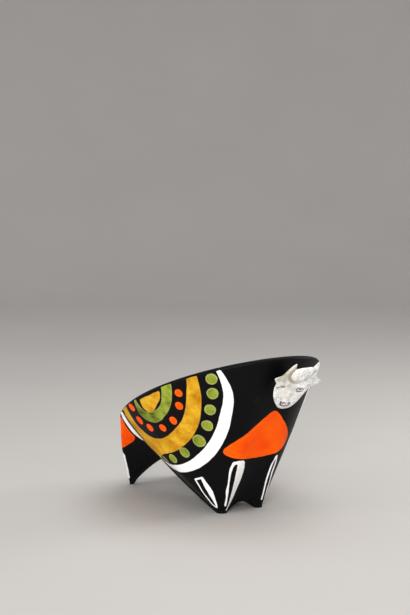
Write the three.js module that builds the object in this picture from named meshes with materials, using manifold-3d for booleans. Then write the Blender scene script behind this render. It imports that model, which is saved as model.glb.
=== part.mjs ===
// A four-legged bull vase: a hollow wall, open at the top, pinched below into legs,
// with a small flat face on a short neck in front of it.
// Millimetres. +X is forward, +Y is the bull's left side, +Z is up, and z = 0 is the table.
import * as THREE from 'three';
import { mergeVertices } from 'three/addons/utils/BufferGeometryUtils.js';
import Module from 'manifold-3d';

const wasm = await Module();
wasm.setup();
const { Manifold, Mesh } = wasm;

const { cos, sin, PI } = Math;
const degrees = PI / 180;

// The mouth: an oval that slopes down to the tail and is a little raised at both sides.
const rim = { halfLength: 117.8, halfWidth: 94.4, x: -2.5, z: 111.4, slope: 0.419, arch: 5.3 };
const wall = 6;

// The feet, as round corners of the lower edge, and the raised places between them.
const frontFoot = { x: 37, y: 21.6, radius: 5.5 };
const rearFoot = { x: -120, y: 35, radius: 3 };
const chestNotch = { x: 39.5, z: 8.5 };
const bellyPinch = { x: -75, y: 28, z: 38 };
const rumpNotch = { x: -108, z: 38 };
const edgeRise = 2.6;

// How the arch climbs from the front foot and from the rear foot: 1 is straight, more is hollow.
const bellyRise = { front: 1.25, rear: 0.85 };

// The two angles of each foot's round corner, from straight ahead.
const frontCorner = { from: -25 * degrees, to: 97 * degrees };
const rearCorner = { from: 72 * degrees, to: 207 * degrees };

// How far the lower edge keeps its heading, in plan, as it leaves and as it meets each corner.
const reach = { chest: [9, 6], frontToPinch: [25, 45], pinchToRear: [15, 12], rump: [8, 12] };

// Where the two ends of each leg and the belly pinch meet the mouth, from straight ahead.
const frontLegSpread = { from: 16, to: 109 };
const pinchAngle = 117;
const rearLegSpread = { from: 125, to: 164 };

// How far the wall swells out between the lower edge and the mouth.
const swell = { chest: 3, frontLeg: 0, pinch: 3, rearLeg: 3, rump: 3 };

// The underside rises to a ridge on the middle plane.
const ridge = { frontX: 24, rearX: -90, frontZ: 17, middleZ: 48, rearZ: 43 };

// How far the underside stays level, inwards from the lower edge, at the front and at the rear,
// and the share of it that the rounded edge takes.
const padWidth = { front: 4.4, rear: 2.6 };
const padEdge = 0.2;

// The hollow follows the wall down to a height and then turns in to its floor.
const floor = { x: -18, z: 54, slope: 0, halfLength: 70, halfWidth: 32 };
const hollow = { height: 0.45, wall: 8 };

// The face: a flat slab before the mouth's front end. It leans forward, its chin towards the chest,
// and turns a little to the bull's right.
const face = { ahead: 17.3, across: -1.5, below: 16.8, lean: 53.4 * degrees, turn: 10.5 * degrees };
const faceThickness = 6;
const facePlateEdge = 1.6;
const chin = -37.7;
const crown = 15;
const neck = { height: 0.84, halfWidth: 11, halfHeight: 11, endRadius: 10 };
const sway = { from: -10, atCrown: 2.8 };
const ear = { rootX: 10, rootY: -3, tipX: 25.4, tipY: -0.6, halfWidth: 9.3, halfThickness: 2.3 };
const horn = { rootX: 11, rootY: 2, bendX: 15, bendY: 12, tipX: 10.6, tipY: 21.6, halfWidth: 5.4, halfThickness: 2.5 };
const forelock = { x: 0.8, y: 6.2, halfLength: 9.6, halfWidth: 7.6, tilt: 4 * degrees, height: 4.2 };
const eye = { x: 10, y: -12, halfLength: 4.4, halfWidth: 2.5, height: 1.3 };
const muzzle = { x: 0.4, y: -31.2, halfLength: 7.2, halfWidth: 4.6, height: 1.8 };
const gap = 0.3;

// How finely the wall is divided.
const columns = 44;
const wallRows = 13;
const lipRows = 5;
const hollowRows = 8;

// A smooth rise or fall through [place, value] stops that never overshoots a stop.
function through(stops, at) {
  const steps = stops.slice(1).map(([x, y], i) => {
    const width = x - stops[i][0];
    return { width, slope: (y - stops[i][1]) / width };
  });
  const tangents = stops.map((stop, i) => {
    if (i === 0) return steps[0].slope;
    if (i === steps.length) return steps[i - 1].slope;
    const [a, b] = [steps[i - 1].slope, steps[i].slope];
    return a * b <= 0 ? 0 : (2 * a * b) / (a + b);
  });
  let i = 0;
  while (i < steps.length - 1 && at > stops[i + 1][0]) i += 1;
  const { width } = steps[i];
  const t = (at - stops[i][0]) / width;
  const [y0, y1] = [stops[i][1], stops[i + 1][1]];
  const [m0, m1] = [tangents[i] * width, tangents[i + 1] * width];
  const t2 = t * t;
  const t3 = t2 * t;
  return y0 * (2 * t3 - 3 * t2 + 1) + m0 * (t3 - 2 * t2 + t) + y1 * (3 * t2 - 2 * t3) + m1 * (t3 - t2);
}

// The lower edge seen from above, on one side, from the chest to the rump.
function cornerEnd(foot, angle) {
  return new THREE.Vector2(foot.x + foot.radius * cos(angle), foot.y + foot.radius * sin(angle));
}

function cornerHeading(angle) {
  return new THREE.Vector2(-sin(angle), cos(angle));
}

function easeTo(path, heading, end, endHeading, [before, after]) {
  const start = path.currentPoint.clone();
  const first = start.clone().addScaledVector(heading, before);
  const second = end.clone().addScaledVector(endHeading, -after);
  path.bezierCurveTo(first.x, first.y, second.x, second.y, end.x, end.y);
}

const outward = new THREE.Vector2(0, 1);
const backward = new THREE.Vector2(-1, 0);
const inward = new THREE.Vector2(0, -1);
const lowerEdge = new THREE.Path();
lowerEdge.moveTo(chestNotch.x, 0);
const frontStart = cornerEnd(frontFoot, frontCorner.from);
const rearStart = cornerEnd(rearFoot, rearCorner.from);
easeTo(lowerEdge, outward, frontStart, cornerHeading(frontCorner.from), reach.chest);
lowerEdge.absarc(frontFoot.x, frontFoot.y, frontFoot.radius, frontCorner.from, frontCorner.to);
const pinchPoint = new THREE.Vector2(bellyPinch.x, bellyPinch.y);
easeTo(lowerEdge, cornerHeading(frontCorner.to), pinchPoint, backward, reach.frontToPinch);
easeTo(lowerEdge, backward, rearStart, cornerHeading(rearCorner.from), reach.pinchToRear);
lowerEdge.absarc(rearFoot.x, rearFoot.y, rearFoot.radius, rearCorner.from, rearCorner.to);
const rumpPoint = new THREE.Vector2(rumpNotch.x, 0);
easeTo(lowerEdge, cornerHeading(rearCorner.to), rumpPoint, inward, reach.rump);

const edgeLengths = lowerEdge.getCurveLengths();
const edgeLength = edgeLengths[edgeLengths.length - 1];

// The height of the lower edge: zero along each foot, arched at the chest and rump,
// and pointed at the belly.
function edgeHeight(distance) {
  const [a, b, c, d, e, f] = edgeLengths;
  if (distance < a) return chestNotch.z * cos((PI / 2) * (distance / a));
  if (distance < b) return 0;
  if (distance < c) return bellyPinch.z * ((distance - b) / (c - b)) ** bellyRise.front;
  if (distance < d) return bellyPinch.z * ((d - distance) / (d - c)) ** bellyRise.rear;
  if (distance < e) return 0;
  return rumpNotch.z * sin((PI / 2) * ((distance - e) / (f - e)));
}

// Stations run from 0 at the chest to 1 at the rump.
const stops = [0, 0.09, 0.43, 0.56, 0.7, 0.91, 1];
const spreads = [0, frontLegSpread.from, frontLegSpread.to, pinchAngle,
  rearLegSpread.from, rearLegSpread.to, 180];
const rimStops = stops.map((stop, i) => [stop, spreads[i] * degrees]);
const edgeStops = stops.map((stop, i) => [stop, i === 0 ? 0 : edgeLengths[i - 1]]);
const swellStops = [
  [0, swell.chest], [0.26, swell.frontLeg], [0.56, swell.pinch], [0.8, swell.rearLeg], [1, swell.rump],
];
const ridgeStops = [0, 0.06, 0.13, 0.55, 0.88, 0.95, 1].map((share, i) => [
  stops[i], ridge.frontX + share * (ridge.rearX - ridge.frontX),
]);
const ridgeHeights = [
  [ridge.rearX, ridge.rearZ], [bellyPinch.x, ridge.middleZ],
  [-10, ridge.middleZ - 9], [ridge.frontX, ridge.frontZ],
];

function rimAngle(station) {
  return through(rimStops, station);
}

function rimPoint(angle) {
  const x = rim.halfLength * cos(angle);
  const z = rim.z + rim.slope * x + rim.arch * sin(angle) ** 2;
  return new THREE.Vector3(rim.x + x, rim.halfWidth * sin(angle), z);
}

function rimOutward(angle) {
  return new THREE.Vector3(cos(angle) / rim.halfLength, sin(angle) / rim.halfWidth, 0).normalize();
}

function edgePoint(station) {
  const distance = through(edgeStops, station);
  const plan = lowerEdge.getPointAt(Math.min(1, Math.max(0, distance / edgeLength)));
  return new THREE.Vector3(plan.x, plan.y, edgeHeight(distance));
}

function ridgePoint(station) {
  const x = through(ridgeStops, station);
  return new THREE.Vector3(x, 0, through(ridgeHeights, x));
}

// The outside of the wall: height 0 is the lower edge and 1 the mouth.
function wallPoint(station, height) {
  const angle = rimAngle(station);
  const low = edgePoint(station);
  low.z += edgeRise;
  const bulge = through(swellStops, station) * sin(PI * height);
  return low.lerp(rimPoint(angle), height).addScaledVector(rimOutward(angle), bulge);
}

// The rounded lip, from the outer side of the mouth to the inner side.
function lipPoint(station, share) {
  const angle = rimAngle(station);
  const turn = PI * share;
  const point = rimPoint(angle).addScaledVector(rimOutward(angle), (wall / 2) * (cos(turn) - 1));
  point.z += (wall / 2) * sin(turn);
  return point;
}

function floorPoint(angle, scale) {
  const x = floor.halfLength * scale * cos(angle);
  return new THREE.Vector3(floor.x + x, floor.halfWidth * scale * sin(angle), floor.z + floor.slope * x);
}

// The inside of the hollow: from the lip down beside the wall, then in to the floor.
function hollowPoint(station, depth) {
  const angle = rimAngle(station);
  const even = angle + (PI * station - angle) * depth;
  const beside = wallPoint(station, hollow.height).addScaledVector(rimOutward(angle), -hollow.wall);
  const curve = new THREE.CubicBezierCurve3(
    lipPoint(station, 1), beside, floorPoint(even, 1), floorPoint(even, 0.3),
  );
  return curve.getPoint(depth);
}

// The share of the way to the ridge at which the underside starts to climb.
function padEnd(station) {
  const width = padWidth.front + (padWidth.rear - padWidth.front) * station;
  return width / edgePoint(station).setZ(0).distanceTo(ridgePoint(station).setZ(0));
}

// The underside, from the lower edge to the ridge.
function undersidePoint(station, share) {
  const low = edgePoint(station);
  const high = ridgePoint(station);
  const climb = Math.max(0, (share - padEnd(station)) / (1 - padEnd(station)));
  const z = low.z + (high.z - low.z) * sin((PI / 2) * climb);
  return low.lerp(high, share).setZ(z);
}

// A closed mesh from rings of points and what closes its two ends.
function skin(rings, firstPole, lastPole) {
  const count = rings[0].length;
  const points = rings.flat();
  const index = [];
  for (let r = 0; r < rings.length - 1; r += 1) {
    for (let i = 0; i < count; i += 1) {
      const [a, b] = [r * count + i, r * count + ((i + 1) % count)];
      index.push(a, b, b + count, a, b + count, a + count);
    }
  }
  const poles = [[firstPole, 0, 1], [lastPole, (rings.length - 1) * count, 0]];
  for (const [pole, base, flip] of poles) {
    if (!pole) continue;
    points.push(pole);
    for (let i = 0; i < count; i += 1) {
      const [a, b] = [base + i, base + ((i + 1) % count)];
      index.push(...(flip ? [b, a, points.length - 1] : [a, b, points.length - 1]));
    }
  }
  const geometry = new THREE.BufferGeometry().setFromPoints(points);
  geometry.setIndex(index);
  return geometry;
}

// One ring round the body: the bull's left side forward to back, then its right side.
function fullRing(pointAt) {
  const left = Array.from({ length: columns + 1 }, (_, i) => pointAt(i / columns));
  left[0].y = 0;
  left[columns].y = 0;
  const right = left.slice(1, columns).reverse().map((p) => new THREE.Vector3(p.x, -p.y, p.z));
  return [...left, ...right];
}

function bodyShell() {
  const rings = [];
  for (const share of [1, 0.7, 0.45, 0.22, 0.08, 0]) {
    rings.push(fullRing((s) => undersidePoint(s, padEnd(s) + (1 - padEnd(s)) * share)));
  }
  rings.push(fullRing((s) => undersidePoint(s, padEdge * padEnd(s))));
  for (let r = 0; r <= wallRows; r += 1) {
    const height = (r / wallRows) ** 1.25;
    rings.push(fullRing((s) => wallPoint(s, height)));
  }
  for (let r = 1; r <= lipRows; r += 1) rings.push(fullRing((s) => lipPoint(s, r / lipRows)));
  for (let r = 1; r <= hollowRows; r += 1) {
    rings.push(fullRing((s) => hollowPoint(s, r / hollowRows)));
  }
  return skin(rings, null, new THREE.Vector3(floor.x, 0, floor.z));
}

// Places on the face: x to the bull's right, y to its crown, z out of its front.
const faceAcross = new THREE.Vector3(0, 1, 0);
const faceUp = new THREE.Vector3(cos(face.lean), 0, sin(face.lean));
const faceFrame = new THREE.Matrix4()
  .makeBasis(faceAcross, faceUp, new THREE.Vector3().crossVectors(faceAcross, faceUp))
  .multiply(new THREE.Matrix4().makeRotationY(-face.turn));
const faceOrigin = rimPoint(0).add(new THREE.Vector3(face.ahead, face.across, -face.below));
faceFrame.setPosition(faceOrigin);

// Half the width of the face at a place between chin and crown.
const faceWidths = [
  [chin, 0], [chin + 2.7, 8], [chin + 8, 12], [-22, 15], [-14, 16.3], [-7, 17.6], [0, 18],
  [8, 16.5], [13, 10.5], [crown, 0],
];

// The crown leans a little to the bull's left: how far the middle line is moved at a height.
function swayAt(y) {
  return sway.atCrown * Math.min(1, Math.max(0, (y - sway.from) / (crown - sway.from)));
}

function faceOutline(grow) {
  const side = (share, sign) => {
    const y = chin + (crown - chin) * (0.5 - 0.5 * cos(PI * share));
    return new THREE.Vector2(sign * through(faceWidths, y) + swayAt(y), y);
  };
  const count = 20;
  const right = Array.from({ length: count }, (_, i) => side(i / count, 1));
  const left = Array.from({ length: count }, (_, i) => side(1 - i / count, -1));
  const points = [...right, ...left];
  return points.map((point, i) => {
    const after = points[(i + 1) % points.length];
    const before = points[(i + points.length - 1) % points.length];
    const along = after.clone().sub(before).normalize();
    return point.clone().add(new THREE.Vector2(along.y, -along.x).multiplyScalar(grow));
  });
}

// The slab's outline is drawn in by its rounded edge on both faces.
function facePlate(grow) {
  const layers = [
    [-faceThickness - grow, grow - facePlateEdge], [facePlateEdge - faceThickness, grow],
    [-facePlateEdge, grow], [grow, grow - facePlateEdge],
  ];
  const rings = layers.map(([z, out]) => faceOutline(out).map((p) => new THREE.Vector3(p.x, p.y, z)));
  const middleY = (chin + crown) / 2;
  return skin(rings, new THREE.Vector3(0, middleY, -faceThickness - grow),
    new THREE.Vector3(0, middleY, grow));
}

// A limb that tapers along a curve, closed to a point at both ends.
function limb(curve, widthAt, thicknessAt) {
  const [rows, around] = [10, 14];
  const rings = [];
  for (let r = 1; r < rows; r += 1) {
    const share = r / rows;
    const centre = curve.getPoint(share);
    const tangent = curve.getTangent(share);
    const side = new THREE.Vector3(-tangent.y, tangent.x, 0).normalize();
    rings.push(Array.from({ length: around }, (_, i) => {
      const turn = (2 * PI * i) / around;
      return centre.clone().addScaledVector(side, widthAt(share) * cos(turn))
        .add(new THREE.Vector3(0, 0, thicknessAt(share) * sin(turn)));
    }));
  }
  return skin(rings, curve.getPoint(0), curve.getPoint(1));
}

// Ears and horns are cut from the same slab, so they are flat and keep a little behind its front.
function sidePlace(sign, x, y) {
  return new THREE.Vector3(sign * x + swayAt(y), y, -faceThickness / 2);
}

function earLimb(sign) {
  const curve = new THREE.LineCurve3(
    sidePlace(sign, ear.rootX, ear.rootY), sidePlace(sign, ear.tipX, ear.tipY),
  );
  const taper = (s) => Math.min(1, 6 * s) * (1 - s) ** 0.75;
  return limb(curve, (s) => ear.halfWidth * taper(s), (s) => ear.halfThickness * taper(s) ** 0.5);
}

function hornLimb(sign) {
  const curve = new THREE.QuadraticBezierCurve3(
    sidePlace(sign, horn.rootX, horn.rootY), sidePlace(sign, horn.bendX, horn.bendY),
    sidePlace(sign, horn.tipX, horn.tipY),
  );
  const taper = (s) => Math.min(1, 6 * s) * (1 - s) ** 0.75;
  return limb(curve, (s) => horn.halfWidth * taper(s), (s) => horn.halfThickness * taper(s) ** 0.7);
}

// A pad with a flat back that lies on the front of the face.
function pad({ x, y, halfLength, halfWidth, height }, tilt, taper) {
  const [rows, around] = [5, 24];
  const rings = [];
  const ringAt = (scale, z) => Array.from({ length: around }, (_, i) => {
    const turn = (2 * PI * i) / around;
    const u = halfLength * scale * cos(turn);
    const v = halfWidth * scale * sin(turn) * (1 - taper * cos(turn));
    return new THREE.Vector3(x + u * cos(tilt) - v * sin(tilt), y + u * sin(tilt) + v * cos(tilt), z);
  });
  rings.push(ringAt(0.9, gap));
  for (let r = 0; r < rows; r += 1) {
    const turn = (PI / 2) * (r / rows);
    rings.push(ringAt(cos(turn), gap + 0.5 + (height - 0.5) * sin(turn)));
  }
  return skin(rings, new THREE.Vector3(x, y, gap), new THREE.Vector3(x, y, gap + height));
}

// The neck: one end follows the chest at a gap, the other is flat behind the face.
function neckLug() {
  const around = 28;
  const besideWall = (share, turn) => {
    const angle = neck.halfWidth * share * sin(turn) / (rim.halfWidth * neck.height);
    const station = Math.abs(angle) / (frontLegSpread.from * degrees) * stops[1];
    const height = neck.height + (neck.halfHeight * share * cos(turn)) / (rim.z + rim.slope * rim.halfLength);
    const point = wallPoint(station, height);
    const above = wallPoint(station, height + 0.01);
    const beside = wallPoint(station + 0.01, height);
    const out = above.sub(point).cross(beside.sub(point)).normalize();
    if (out.x < 0) out.negate();
    point.addScaledVector(out, gap + 0.1);
    if (angle < 0) point.y = -point.y;
    return point;
  };
  const behindFace = (share, turn) => {
    const radius = neck.endRadius * share;
    const place = new THREE.Vector3(radius * sin(turn), radius * cos(turn), -faceThickness - gap);
    return place.applyMatrix4(faceFrame);
  };
  const ring = (pointAt, share) => Array.from({ length: around }, (_, i) => (
    pointAt(share, (-2 * PI * i) / around)
  ));
  const rings = [ring(besideWall, 0.5), ring(besideWall, 1)];
  const [from, to] = [ring(besideWall, 1), ring(behindFace, 1)];
  for (const share of [0.33, 0.67]) {
    const waist = 1 - 0.12 * sin(PI * share);
    const middle = from.map((p, i) => p.clone().lerp(to[i], share));
    const centre = middle.reduce((sum, p) => sum.add(p), new THREE.Vector3()).divideScalar(around);
    rings.push(middle.map((p) => p.sub(centre).multiplyScalar(waist).add(centre)));
  }
  rings.push(to);
  return skin(rings, besideWall(0, 0), behindFace(0, 0));
}

function toManifold(geometry) {
  const bare = geometry.clone();
  bare.deleteAttribute('normal');
  bare.deleteAttribute('uv');
  const merged = mergeVertices(bare, 1e-4);
  return new Manifold(new Mesh({
    numProp: 3,
    vertProperties: new Float32Array(merged.attributes.position.array),
    triVerts: new Uint32Array(merged.index.array),
  }));
}

function fromManifold(solid) {
  const mesh = solid.getMesh();
  const geometry = new THREE.BufferGeometry();
  geometry.setAttribute('position', new THREE.BufferAttribute(mesh.vertProperties, mesh.numProp));
  geometry.setIndex(new THREE.BufferAttribute(mesh.triVerts, 1));
  return geometry;
}

function cutBack(geometry, ...others) {
  const rest = others.reduce((solid, other) => solid.subtract(other), toManifold(geometry));
  return fromManifold(rest);
}

const group = new THREE.Group();
group.name = 'bull_shaped_vase';

function addPiece(name, geometry, color, roughness) {
  geometry.computeVertexNormals();
  const mesh = new THREE.Mesh(geometry, new THREE.MeshStandardMaterial({ color, roughness }));
  mesh.name = name;
  group.add(mesh);
}

const black = 0x111214;
const cream = 0xd9d3c6;
const white = 0xf2f0ea;

const clearFace = toManifold(facePlate(gap));
const plain = (geometry) => fromManifold(toManifold(geometry));
const onFace = (geometry) => plain(geometry).applyMatrix4(faceFrame);

addPiece('vase_body', plain(bodyShell()), black, 0.3);
addPiece('neck', plain(neckLug()), black, 0.3);
addPiece('face_plate', onFace(facePlate(0)), cream, 0.4);
for (const [side, sign] of [['left', 1], ['right', -1]]) {
  addPiece(`ear_${side}`, cutBack(earLimb(sign), clearFace).applyMatrix4(faceFrame), cream, 0.4);
  addPiece(`horn_${side}`, cutBack(hornLimb(sign), clearFace).applyMatrix4(faceFrame), cream, 0.4);
  addPiece(`eye_${side}`, onFace(pad({ ...eye, x: sign * eye.x }, 0, 0)), cream, 0.4);
}
addPiece('forelock', onFace(pad(forelock, forelock.tilt, 0.25)), white, 0.4);
addPiece('muzzle', onFace(pad(muzzle, 0, 0)), cream, 0.4);

// The origin goes under the middle of the whole object.
const box = new THREE.Box3().setFromObject(group);
const middleX = (box.min.x + box.max.x) / 2;
for (const mesh of group.children) mesh.geometry.translate(-middleX, 0, 0);

export default group;
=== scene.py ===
# A four-legged bull vase in black glaze, with brushed rings, dots and patches and a small pale face.
# Shapes are worked out in millimetres, and go into their meshes in metres.
import math
import bpy
import bmesh
import numpy as np
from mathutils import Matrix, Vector


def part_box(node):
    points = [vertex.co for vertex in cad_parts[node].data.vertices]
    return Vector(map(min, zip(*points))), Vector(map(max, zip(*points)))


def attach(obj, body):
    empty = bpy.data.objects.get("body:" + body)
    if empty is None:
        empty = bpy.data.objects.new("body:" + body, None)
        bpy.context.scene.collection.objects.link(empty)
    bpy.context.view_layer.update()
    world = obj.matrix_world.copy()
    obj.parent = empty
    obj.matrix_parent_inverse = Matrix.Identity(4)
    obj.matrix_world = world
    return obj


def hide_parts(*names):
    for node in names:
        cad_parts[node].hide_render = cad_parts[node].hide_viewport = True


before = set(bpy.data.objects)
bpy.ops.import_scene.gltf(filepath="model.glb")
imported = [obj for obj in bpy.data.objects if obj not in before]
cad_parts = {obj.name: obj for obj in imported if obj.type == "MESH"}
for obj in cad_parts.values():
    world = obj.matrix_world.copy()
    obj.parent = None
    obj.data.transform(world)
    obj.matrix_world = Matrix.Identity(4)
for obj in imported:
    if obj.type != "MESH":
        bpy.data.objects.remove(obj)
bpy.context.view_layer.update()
mm = 0.001
farAway = 1e3  # a distance in mm that stands for no paint nearby


# Surfaces shared by all pieces

# A smooth rise or fall through stops: cubic steps whose slopes are harmonic means, so none overshoots.
def through(places, values, at):
    xs, ys, at = (np.asarray(v, float) for v in (places, values, at))
    widths = np.diff(xs)
    slopes = np.diff(ys) / widths
    before, after = slopes[:-1], slopes[1:]
    total = np.where(before + after == 0, 1, before + after)
    inner = np.where(before * after <= 0, 0, 2 * before * after / total)
    tangents = np.concatenate([slopes[:1], inner, slopes[-1:]])
    i = np.clip(np.searchsorted(xs, at, side="left") - 1, 0, len(widths) - 1)
    u = (at - xs[i]) / widths[i]
    return (ys[i] * (2 * u**3 - 3 * u**2 + 1) + tangents[i] * widths[i] * (u**3 - 2 * u**2 + u)
            + ys[i + 1] * (3 * u**2 - 2 * u**3) + tangents[i + 1] * widths[i] * (u**3 - u**2))


# Stops in rows, each column smoothed from first to last over a number of steps.
def smoothed(stops, count):
    share, fine = np.linspace(0, 1, len(stops)), np.linspace(0, 1, count)
    return np.stack([through(share, column, fine) for column in np.array(stops, float).T], -1)


# Angles evenly spaced round a full turn.
def fullTurn(count):
    return np.linspace(0, 2 * np.pi, count, endpoint=False)


# A point (x, y) turned about the origin.
def turned(x, y, degrees):
    c, s = math.cos(math.radians(degrees)), math.sin(math.radians(degrees))
    return x * c - y * s, x * s + y * c


# Rings of points become a mesh: each ring is joined to the next, and a pole closes an end by a fan.
def meshFromRings(name, rings, firstPole=None, lastPole=None):
    rows, count = rings.shape[:2]
    points = rings.reshape(-1, 3)
    around = np.arange(count)
    beside = (around + 1) % count
    start, last = np.arange(rows - 1)[:, None] * count, (rows - 1) * count
    quads = np.stack([start + around, start + beside, start + beside + count, start + around + count], -1)
    faces = quads.reshape(-1, 4).tolist()
    for pole, rim in ((firstPole, (beside, around)), (lastPole, (last + around, last + beside))):
        if pole is not None:
            points = np.vstack([points, pole])
            faces += np.stack([*rim, np.full(count, len(points) - 1)], -1).tolist()
    mesh = bpy.data.meshes.new(name)
    mesh.from_pydata((points * mm).tolist(), [], faces)
    mesh.polygons.foreach_set("use_smooth", np.ones(len(mesh.polygons), bool))
    mesh.update()
    piece = bpy.data.objects.new(name, mesh)
    bpy.context.collection.objects.link(piece)
    return piece


# Joins points that lie on each other, so that seams are closed.
def closeSeams(piece):
    work = bmesh.new()
    work.from_mesh(piece.data)
    bmesh.ops.remove_doubles(work, verts=work.verts, dist=1e-7)
    work.to_mesh(piece.data)
    work.free()
    piece.data.update()


# Stores one value for each point of a mesh, for its material to read.
def store(piece, name, values):
    attribute = piece.data.attributes.new(name, "FLOAT", "POINT")
    attribute.data.foreach_set("value", values.astype(np.float32))


# How fast each of five slow waves runs along x, y and z.
handWaves = np.array([(1.7, 0, 0.9), (-1.1, 2.3, 0), (0, 1.3, 2.9), (3.7, 2.1, -1), (-3.1, 0, 4.3)])


# A gentle unevenness between -1 and 1: the mean of the waves' sines.
def handWander(points, scale):
    return np.sin(points / scale @ handWaves.T).mean(-1)


# The vase: one hollow wall, pinched into legs. Stations run round one side from the chest (0) to the
# rump (1). A foot is its middle and its corner's radius, and a notch or pinch is its place and height.
vase = {
    "rimHalfLength": 117.8, "rimHalfWidth": 94.4, "rimX": -2.5, "rimZ": 111.4,
    "rimSlope": 0.419, "rimArch": 5.3, "wall": 6.0,
    "frontFoot": (37.0, 21.6, 5.5), "rearFoot": (-120.0, 35.0, 3.0),
    "frontCorner": (-25.0, 97.0), "rearCorner": (72.0, 207.0),
    "chestNotch": (39.5, 8.5), "bellyPinch": (-75.0, 28.0, 38.0), "rumpNotch": (-108.0, 38.0),
    "bellyRise": (1.25, 0.85),
    "reachChest": (9, 6), "reachFront": (25, 45), "reachRear": (15, 12), "reachRump": (8, 12),
    "edgeRise": 2.6,
    "stations": (0, 0.09, 0.43, 0.56, 0.7, 0.91, 1),
    "spreads": (0, 16, 109, 117, 125, 164, 180),
    "swellStations": (0, 0.26, 0.56, 0.8, 1), "swell": (3, 0, 3, 3, 3),
    "ridgeShares": (0, 0.06, 0.13, 0.55, 0.88, 0.95, 1),
    "ridgeX": (24.0, -10.0, -90.0), "ridgeZ": (17.0, 39.0, 48.0, 43.0), "padWidths": (4.0, 2.4),
    "floorX": -18.0, "floorZ": 54.0, "floorHalfLength": 70.0, "floorHalfWidth": 32.0, "floorInner": 0.3,
    "hollowHeight": 0.45, "hollowWall": 8.0,
    "edgeSteps": 400, "halfColumns": 250, "wallRows": 104, "lipRows": 12, "hollowRows": 40,
    "undersideRows": 14, "padLevels": (-0.5, -0.96), "undersideBunching": 1.3, "wallBunching": 1.15,
    "unevenness": 0.35, "unevenScale": 30.0, "seamHalfWidth": 1.0,
}
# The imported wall's front end says how far along X the whole vase was moved.
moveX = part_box("vase_body")[1][0] / mm - (vase["rimX"] + vase["rimHalfLength"])


# The lower edge from above, chest to rump: round corners at the feet, cubic curves between them. Returns
# its points, how far along it each of them is, and how far along it the parts meet.
def lowerEdge():
    u = np.linspace(0, 1, vase["edgeSteps"])[:, None]

    def corner(foot, angle):
        return np.stack([foot[0] + foot[2] * np.cos(angle), foot[1] + foot[2] * np.sin(angle)], -1)

    def heading(angle):
        return -math.sin(angle), math.cos(angle)

    def ease(start, startHeading, end, endHeading, reach):
        start, end = np.array(start), np.array(end)
        first, second = start + np.multiply(startHeading, reach[0]), end - np.multiply(endHeading, reach[1])
        return start * (1 - u)**3 + 3 * first * u * (1 - u)**2 + 3 * second * u**2 * (1 - u) + end * u**3

    front, rear, pinch = vase["frontFoot"], vase["rearFoot"], vase["bellyPinch"][:2]
    chest, rump = (vase["chestNotch"][0], 0.0), (vase["rumpNotch"][0], 0.0)
    front1, front2 = np.radians(vase["frontCorner"])
    rear1, rear2 = np.radians(vase["rearCorner"])
    parts = [
        ease(chest, (0, 1), corner(front, front1), heading(front1), vase["reachChest"]),
        corner(front, np.linspace(front1, front2, vase["edgeSteps"])),
        ease(corner(front, front2), heading(front2), pinch, (-1, 0), vase["reachFront"]),
        ease(pinch, (-1, 0), corner(rear, rear1), heading(rear1), vase["reachRear"]),
        corner(rear, np.linspace(rear1, rear2, vase["edgeSteps"])),
        ease(corner(rear, rear2), heading(rear2), rump, (0, -1), vase["reachRump"]),
    ]
    steps = [np.hypot(*np.diff(part, axis=0).T) for part in parts]
    joints = np.concatenate([[0], np.cumsum([step.sum() for step in steps])])
    plan = np.concatenate([parts[0]] + [part[1:] for part in parts[1:]])
    along = np.concatenate([[0], np.cumsum(np.concatenate(steps))])
    return plan, along, joints


edgePlan, edgeAlong, edgeJoints = lowerEdge()


# The lower edge in space: level along each foot, a quarter sine at the chest and rump, and a power of
# the distance up to the flanks' arch.
def edgePoint(station):
    d = through(vase["stations"], edgeJoints, station)
    j, quarter = edgeJoints, math.pi / 2
    height = np.select(
        [d < j[1], d < j[2], d < j[3], d < j[4], d < j[5]],
        [vase["chestNotch"][1] * np.cos(quarter * d / j[1]), 0 * d,
         vase["bellyPinch"][2] * np.clip((d - j[2]) / (j[3] - j[2]), 0, 1)**vase["bellyRise"][0],
         vase["bellyPinch"][2] * np.clip((j[4] - d) / (j[4] - j[3]), 0, 1)**vase["bellyRise"][1], 0 * d],
        vase["rumpNotch"][1] * np.sin(quarter * (d - j[5]) / (j[6] - j[5])))
    x, y = (np.interp(d, edgeAlong, edgePlan[:, axis]) for axis in (0, 1))
    return np.stack([x, y, height], -1)


# The angle, seen from above, at which a station's line meets the mouth's oval.
def rimAngle(station):
    return np.radians(through(vase["stations"], vase["spreads"], station))


# The mouth: an oval in plan whose height falls towards the tail and rises a little at both sides.
def rimPoint(angle):
    x = vase["rimHalfLength"] * np.cos(angle)
    z = vase["rimZ"] + vase["rimSlope"] * x + vase["rimArch"] * np.sin(angle)**2
    return np.stack([vase["rimX"] + x, vase["rimHalfWidth"] * np.sin(angle), z], -1)


# The level direction out of the mouth: its oval's gradient, brought to length 1.
def rimOutward(angle):
    along, across = np.cos(angle) / vase["rimHalfLength"], np.sin(angle) / vase["rimHalfWidth"]
    way = np.stack([along, across, 0 * angle], -1)
    return way / np.linalg.norm(way, axis=-1, keepdims=True)


# The outside: straight lines from the lower edge (height 0) to the mouth (1), swelled by a half sine.
def wallPoint(station, height):
    station, height = np.broadcast_arrays(np.asarray(station, float), np.asarray(height, float))
    angle = rimAngle(station)
    low = edgePoint(station) + np.array([0, 0, vase["edgeRise"]])
    bulge = through(vase["swellStations"], vase["swell"], station) * np.sin(np.pi * height)
    share = height[..., None]
    return low * (1 - share) + rimPoint(angle) * share + rimOutward(angle) * bulge[..., None]


# The lip: a half circle as wide as the wall, from the outer side over to the inner side.
def lipPoint(station, share):
    angle = rimAngle(station)
    half = vase["wall"] / 2
    point = rimPoint(angle) + rimOutward(angle) * (half * (np.cos(np.pi * share) - 1))[..., None]
    point[..., 2] += half * np.sin(np.pi * share)
    return point


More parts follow.
